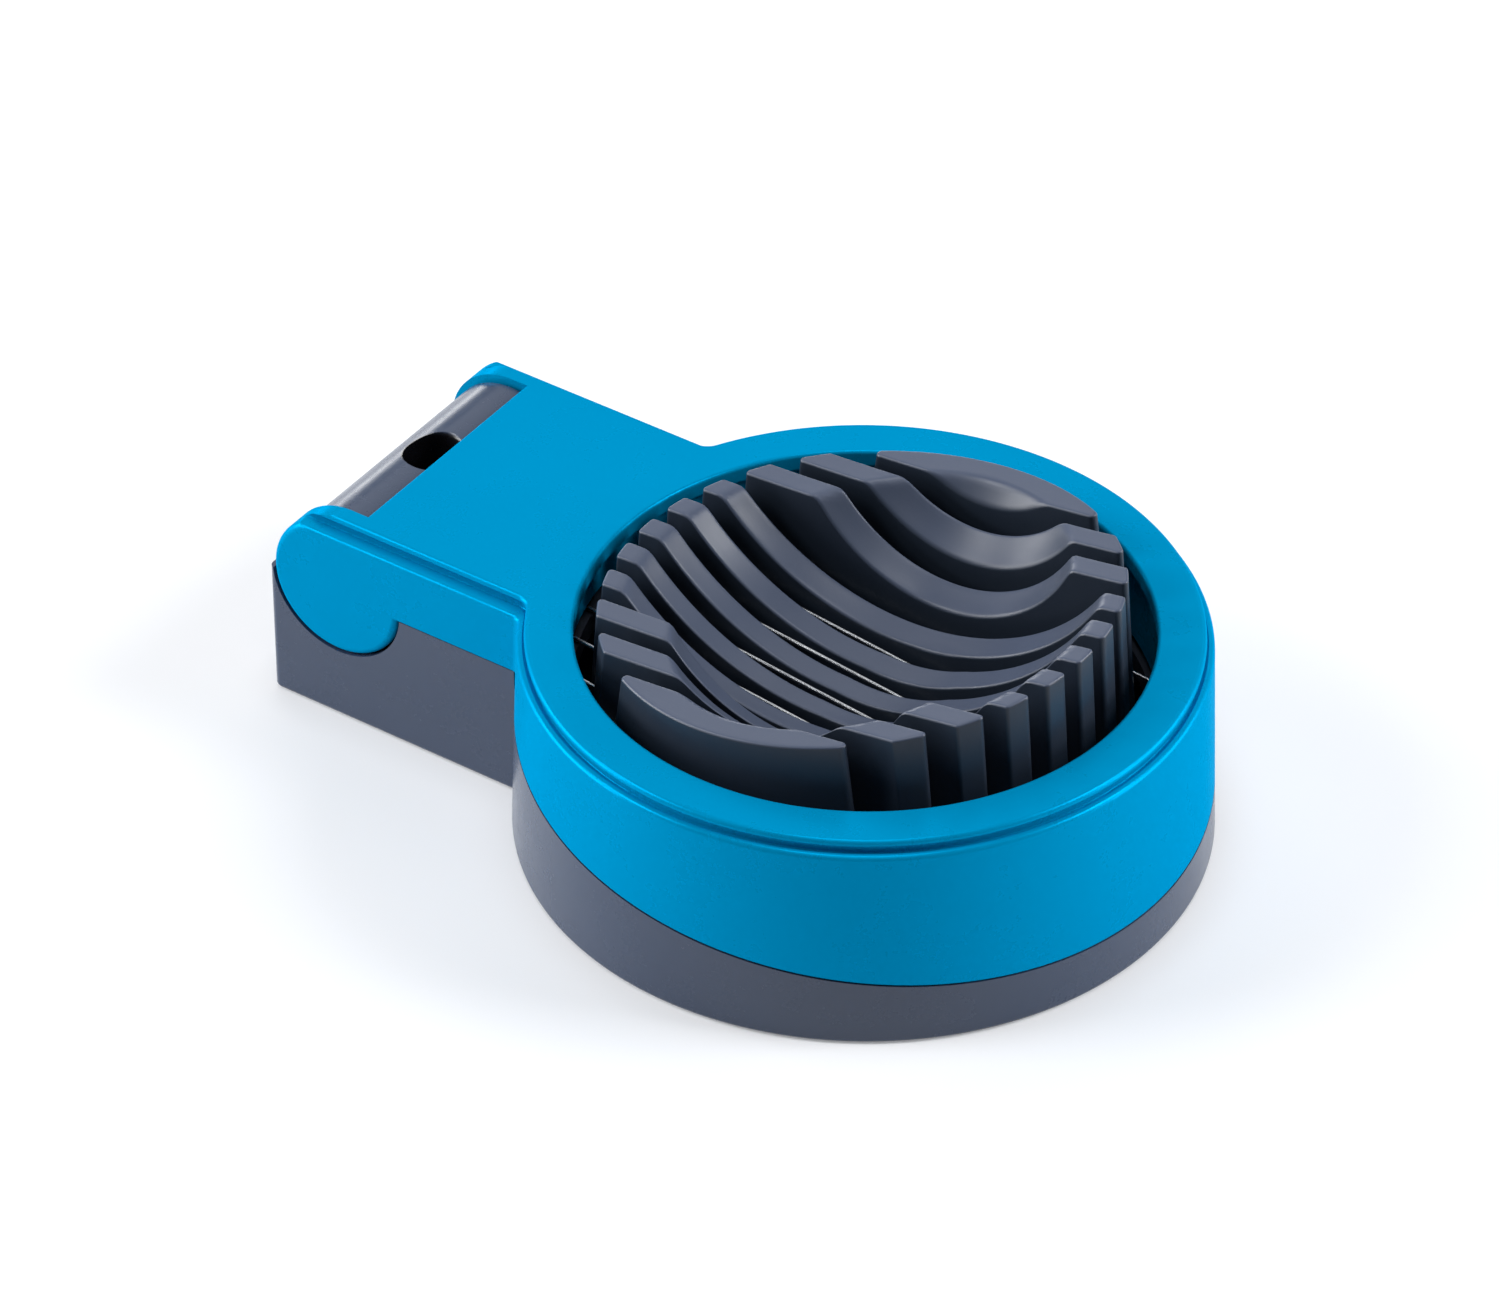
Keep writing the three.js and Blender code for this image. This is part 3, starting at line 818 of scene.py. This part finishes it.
def bed_z(x, y, kind):
    """Height of the tray's upper surface: the rib ends' curve, hollowed by the egg bed."""
    along = x - TROUGH_X - (END_BED_SHIFT if kind == "end" else 0.0)
    reach = TROUGH_REACH - TROUGH_R + math.sqrt(max(TROUGH_R ** 2 - along ** 2, 0.0))
    trough = TROUGH_Z - math.sqrt(max(reach ** 2 - y ** 2, 0.0))
    if abs(along) >= TROUGH_R:
        trough = TROUGH_Z
    hollow = trough
    if kind == "end":
        hollow -= END_BED_DROP
    if kind == "middle":
        length = (x - BOWL_X) * (BOWL_RIGHT if x > BOWL_X else 1.0)
        ball = BOWL_Z - math.sqrt(max(BOWL_R ** 2 - length ** 2 - (BOWL_ACROSS * y) ** 2, 0.0))
        hollow = min(trough, ball)
    return smooth_min(rim_z(x), hollow, BED_BLEND)


def rib_outline(y0, y1, left, right, corner, inset):
    """Rounded outline of one rib between two slot faces, inside end arcs of the given radii."""
    side_points, corner_points = RIB_SIDE_POINTS, RIB_CORNER_POINTS
    arc_length = TRAY_R * (math.asin(y1 / TRAY_R) - math.asin(y0 / TRAY_R))
    arc_points = max(10, round(arc_length / RIB_ARC_STEP))
    low, high = y0 + inset, y1 - inset
    soft = max(corner - inset, 0.0)
    points = []

    def side_centre(radius, y):
        x = math.sqrt(max((radius - inset - soft) ** 2 - y * y, 0.0))
        return x, y, math.atan2(y, x)

    def turn(centre_x, centre_y, first, last):
        for i in range(corner_points):
            t = first + (last - first) * i / corner_points
            points.append((centre_x + soft * math.cos(t), centre_y + soft * math.sin(t)))

    def straight(x0, x1, y):
        points.extend((x0 + (x1 - x0) * i / side_points, y) for i in range(side_points))

    def end_arc(radius, first, last):
        for i in range(arc_points):
            t = first + (last - first) * i / arc_points
            points.append(((radius - inset) * math.cos(t), (radius - inset) * math.sin(t)))

    near_right = side_centre(right, low + soft)
    far_right = side_centre(right, high - soft)
    far_left = side_centre(left, high - soft)
    near_left = side_centre(left, low + soft)
    straight(-near_left[0], near_right[0], low)
    turn(near_right[0], near_right[1], -math.pi / 2, near_right[2])
    end_arc(right, near_right[2], far_right[2])
    turn(far_right[0], far_right[1], far_right[2], math.pi / 2)
    straight(far_right[0], -far_left[0], high)
    turn(-far_left[0], far_left[1], math.pi / 2, math.pi - far_left[2])
    end_arc(left, math.pi - far_left[2], math.pi - near_left[2])
    turn(-near_left[0], near_left[1], math.pi - near_left[2], 1.5 * math.pi)
    return points


def end_outline(side, slot, left, right, corner, inset):
    """Rounded outline of an end rib: one slot face, and an arc between the two end radii."""
    middle, change = (right + left) / 2, (right - left) / 2
    lean = math.sqrt(middle ** 2 - slot ** 2) / middle
    soft = max(corner - inset, 0.0)
    low = slot + inset

    def corner_place(radius):
        x = math.sqrt(max((radius - inset - soft) ** 2 - (low + soft) ** 2, 0.0))
        return x, math.atan2(low + soft, x)

    right_x, right_turn = corner_place(middle + change * lean)
    left_x, left_turn = corner_place(middle - change * lean)
    left_turn = math.pi - left_turn

    def turn(x, first, last):
        turns = [first + (last - first) * i / RIB_CORNER_POINTS for i in range(RIB_CORNER_POINTS)]
        return [(x + soft * math.cos(t), low + soft + soft * math.sin(t)) for t in turns]

    points = [(-left_x + (right_x + left_x) * i / RIB_SIDE_POINTS, low) for i in range(RIB_SIDE_POINTS)]
    points += turn(right_x, -math.pi / 2, right_turn)
    for i in range(RIB_SIDE_POINTS):
        t = right_turn + (left_turn - right_turn) * i / RIB_SIDE_POINTS
        radius = middle + change * math.cos(t) - inset
        points.append((radius * math.cos(t), radius * math.sin(t)))
    points += turn(-left_x, left_turn, 1.5 * math.pi)
    if side > 0:
        return points
    points = [(x, -y) for x, y in reversed(points)]
    return points[RIB_CORNER_POINTS:] + points[:RIB_CORNER_POINTS]


def rib_solid(loops):
    """Closes a rib's thin last loop by joining the points that face each other across it."""
    count, side = len(loops[0]), RIB_SIDE_POINTS
    last = (len(loops) - 1) * count
    far = count // 2
    closing = [(last + i, last + i + 1, last + far + side - i - 1, last + far + side - i)
               for i in range(1, side - 1)]
    closing.append(tuple(last + i for i in range(side - 1, far + 2)))
    closing.append(tuple(last + i % count for i in range(far + side - 1, count + 2)))
    return loops_solid(loops, closing)


def make_rib(outline, half, kind):
    """One rib: rounded walls up to the bed, rounded edges, and the bed's own surface.

    outline(left radius, right radius, inset) gives its section, half is half its width."""
    right_z, left_z = rim_z(TRAY_R), rim_z(-TRAY_R)
    right_top, left_top = tray_radius(right_z), tray_radius(left_z)
    bottom = SLOT_FLOOR_Z - 0.5

    def heights(points, drop):
        return [bed_z(x + TRAY_X, y, kind) - drop for x, y in points]

    loops = []
    top_z = heights(outline(left_top, right_top, 0.0), RIB_EDGE)
    for k in range(RIB_WALL_ROWS):
        share = k / RIB_WALL_ROWS
        left = tray_radius(bottom + (left_z - bottom) * share)
        right = tray_radius(bottom + (right_z - bottom) * share)
        points = outline(left, right, 0.0)
        loops.append([(x + TRAY_X, y, bottom + (z - bottom) * share) for (x, y), z in zip(points, top_z)])
    insets = rounding(RIB_EDGE, RIB_EDGE_STEPS)
    rows = max(3, round((half - RIB_EDGE) / BED_ROW))
    insets += [(RIB_EDGE + (half - RIB_EDGE) * i / rows, 0.0) for i in range(1, rows + 1)]
    for inset, drop in insets:
        points = outline(left_top, right_top, inset)
        loops.append([(x + TRAY_X, y, z) for (x, y), z in zip(points, heights(points, drop))])
    return rib_solid(loops)


def make_ribs():
    half_slot = SLOT_WIDTH / 2
    ribs = []
    for y0, y1 in zip(wire_places, wire_places[1:]):
        low, high = y0 + half_slot, y1 - half_slot
        kind = "middle" if max(-low, high) < BOWL_HALF else "outer"
        ribs.append(make_rib(
            lambda left, right, inset: rib_outline(low, high, left, right, RIB_CORNER, inset),
            (high - low) / 2 - RIB_CREST, kind))
    slot = wire_places[-1] + half_slot
    for side in (-1, 1):
        ribs.append(make_rib(
            lambda left, right, inset: end_outline(side, slot, left, right, END_RIB_CORNER, inset),
            (tray_radius(RIM_Z) - slot) / 2 - END_RIB_CREST, "end"))
    return ribs


def make_tray():
    bottom, proud, bevel = FLOOR + GAP, 0.12, 0.3
    low_r, high_r = tray_radius(bottom) + proud, tray_radius(SLOT_FLOOR_Z) + proud
    plate = lathe([(low_r - bevel, bottom), (low_r, bottom + bevel),
                   (high_r, SLOT_FLOOR_Z - bevel), (high_r - bevel, SLOT_FLOOR_Z)])
    skirt = tray_radius(bottom) - TRAY_SKIRT
    hollow = lathe([(skirt, 0), (skirt, TRAY_PLATE_Z)])
    for tool in (plate, hollow):
        tool.data.transform(Matrix.Translation((TRAY_X, 0, 0)))
    body = cut(plate, hollow)
    bosses = [cylinder(x, y, BOSS_R, bottom, TRAY_PLATE_Z + 0.5) for x, y in screw_places]
    room = [cylinder(x, y, TRAY_SCREW_R + GAP, 0, TRAY_PLATE_Z + 1.1, SCREW_FINE) for x, y in screw_places]
    body = cut(join(body, *make_ribs(), *bosses), *room)
    finish_piece(body, "ribbed_egg_tray", "base", TRAY, ["egg_tray"], sharp=40)


# ---- wires, and what clamps them ----
def tube(route, radius):
    """Round bar along a route of (x, y, z) points that stays at one y."""
    across = Vector((0, 1, 0))
    turns = [2 * math.pi * k / WIRE_SIDES for k in range(WIRE_SIDES)]
    loops = []
    for i, point in enumerate(route):
        before, after = route[max(i - 1, 0)], route[min(i + 1, len(route) - 1)]
        along = Vector(after) - Vector(before)
        along.normalize()
        lift = along.cross(across)
        loops.append([Vector(point) + across * (radius * math.cos(t)) + lift * (radius * math.sin(t))
                      for t in turns])
    return loops_solid(loops)


def wire_body(y):
    """Straight across the lid, with both ends bent down outside the clamp ring."""
    reach, steps = math.sqrt(WIRE_END_R ** 2 - y ** 2), 40
    bend = [(0, WIRE_HOOK)] + rounding(WIRE_BEND, 8)

    def place(x, down=0.0):
        return (x, y, wire_z(x) - down)

    def end(side):
        return [place(side * (reach - inward), down) for inward, down in bend]

    left, right = end(-1), end(1)
    start, stop = left[-1][0], right[-1][0]
    straight = [place(start + (stop - start) * k / steps) for k in range(1, steps)]
    return tube(left + straight + right[::-1], WIRE_R)


def make_wires():
    for i, y in enumerate(wire_places, 1):
        finish_piece(wire_body(y), f"cutting_wire_{i:02d}", "lid", WIRE, [f"wire_{i:02d}"],
                     sharp=50)


def make_carrier():
    """Ring with four lugs and a groove under each wire, its faces parallel to the wires."""
    block_top, reach, play = 30, 60, 0.05
    ring = lathe([(CARRIER_OUT, 0), (CARRIER_OUT, block_top)])
    lugs = [cylinder(x, y, LUG_SIZE, 0, block_top) for x, y in lug_places]
    top = WIRE_Z - WIRE_SPACE - GAP
    plate = common(join(ring, *lugs), under(top, WIRE_FALL))
    middle = lathe([(CARRIER_IN, BELOW_Z), (CARRIER_IN, ABOVE_Z)])
    holes = [cylinder(x, y, RING_SCREW_R + GAP, BELOW_Z, ABOVE_Z, SCREW_FINE) for x, y in lug_places]
    body = cut(plate, under(top - CARRIER_THICK, WIRE_FALL), middle, *holes)
    grooves = [box(-reach, reach, y - WIRE_R - play, y + WIRE_R + play, 0, ABOVE_Z) for y in wire_places]
    for groove in grooves:
        cut(groove, under(top - WIRE_GROOVE, WIRE_FALL))
    cut(body, *grooves)
    finish_piece(body, "wire_clamp_ring", "lid", CARRIER, ["wire_carrier"])


def screw_body(x, y, z, head_r, shank_r, length):
    """Pan-headed screw, head down, with a cross recess and a rolled thread."""
    dome = [(head_r * math.cos(t), z - SCREW_HEAD * math.sin(t)) for t in quarter_turns(8)[:-1]]
    head = lathe(dome[::-1], 48, (x, y))
    root, tip = shank_r * 0.8, shank_r * 0.2
    pitch = (length - 1.0) / THREAD_TURNS
    profile = [(root, z - 0.2)]
    for i in range(THREAD_TURNS):
        foot = z + 0.3 + i * pitch
        profile += [(root, foot), (shank_r, foot + pitch * 0.35), (shank_r, foot + pitch * 0.5),
                    (root, foot + pitch * 0.85)]
    profile += [(root, z + length - 0.6), (tip, z + length)]
    shank = lathe(profile, SCREW_FINE, (x, y))
    arm, half = head_r * 0.55, head_r * 0.12
    recess = [box(x - a, x + a, y - b, y + b, z - SCREW_HEAD - PAST, z - SCREW_HEAD * 0.35)
              for a, b in ((arm, half), (half, arm))]
    return cut(join(head, shank), *recess)


def make_screws():
    for i, (x, y) in enumerate(screw_places, 1):
        body = screw_body(x, y, TRAY_SCREW_Z, TRAY_SCREW_HEAD_R, TRAY_SCREW_R, TRAY_SCREW_LENGTH)
        finish_piece(body, f"tray_fixing_screw_{i}", "base", SCREW, [f"tray_screw_{i}"])
    for i, (x, y) in enumerate(lug_places, 1):
        z = wire_z(x) - WIRE_SPACE - GAP - CARRIER_THICK - 1.5 * GAP
        body = screw_body(x, y, z, RING_SCREW_HEAD_R, RING_SCREW_R, RING_SCREW_LENGTH)
        finish_piece(body, f"ring_screw_{i}", "lid", SCREW, [f"carrier_screw_{i}"])


def make_pins():
    for name, side in (("right", -1), ("left", 1)):
        y0, y1 = span(side, PIN_START, PIN_END)
        body = hinge_lathe([(PIN_R - PIN_BEVEL, y0), (PIN_R, y0 + PIN_BEVEL),
                            (PIN_R, y1 - PIN_BEVEL), (PIN_R - PIN_BEVEL, y1)], 96)
        finish_piece(body, "hinge_stub_pin_" + name, "base", PIN, ["hinge_pin_" + name])


def make_pads():
    """Round pads with a rolled rim and two shallow rings underneath."""
    profile = [(0.05, 0.0)]
    for ring in (1.55, 3.25):
        profile += [(ring, 0.0), (ring + 0.15, 0.22), (ring + 0.55, 0.22), (ring + 0.7, 0.0)]
    profile += [(PAD_R - 0.4, 0.0), (PAD_R - 0.12, 0.1), (PAD_R, 0.4), (PAD_R, PAD_DEPTH)]
    for i, (x, y) in enumerate(PAD_PLACES, 1):
        body = lathe(profile, 72, (x, y))
        finish_piece(body, f"non_slip_pad_{i}", "base", PAD, [f"foot_pad_{i}"])


make_lid()
make_base()
make_tray()
make_carrier()
make_screws()
make_pins()
make_pads()
make_wires()
